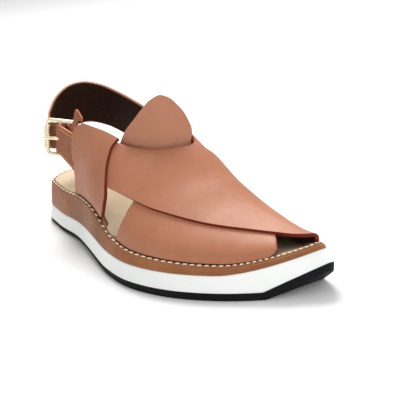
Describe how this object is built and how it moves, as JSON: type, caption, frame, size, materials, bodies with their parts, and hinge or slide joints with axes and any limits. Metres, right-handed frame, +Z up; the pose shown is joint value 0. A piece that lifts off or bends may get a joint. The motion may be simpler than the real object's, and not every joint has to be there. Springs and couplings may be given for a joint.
{
  "type": "strap sandal with heel strap",
  "caption": "Closed-instep leather sandal for a right foot with crossed wide straps, a standing tongue, a buckled heel strap and a thick layered sole.",
  "frame": {"origin": "on the floor, at the middle of the sole's footprint box", "axes": "+X from heel to toe, +Y towards the inner side of the foot, +Z up"},
  "size_m": [0.29, 0.1026, 0.1059],
  "materials": {
    "rubber": "matte moulded",
    "foam": "matte white foam",
    "rim_leather": "smooth satin",
    "insole_leather": "matte beige",
    "upper_leather": "smooth satin tan",
    "lining_leather": "matte fine grain",
    "pale_brass": "polished"
  },
  "bodies": {
    "root": {"outsole": "rubber", "midsole": "foam", "footbed": "rim_leather", "insole": "insole_leather", "upper": "upper_leather", "tongue": "upper_leather", "heel_strap": "lining_leather", "buckle_tab": "upper_leather", "buckle_frame": "pale_brass", "buckle_roller": "pale_brass", "buckle_prong": "pale_brass"}
  },
  "joints": []
}
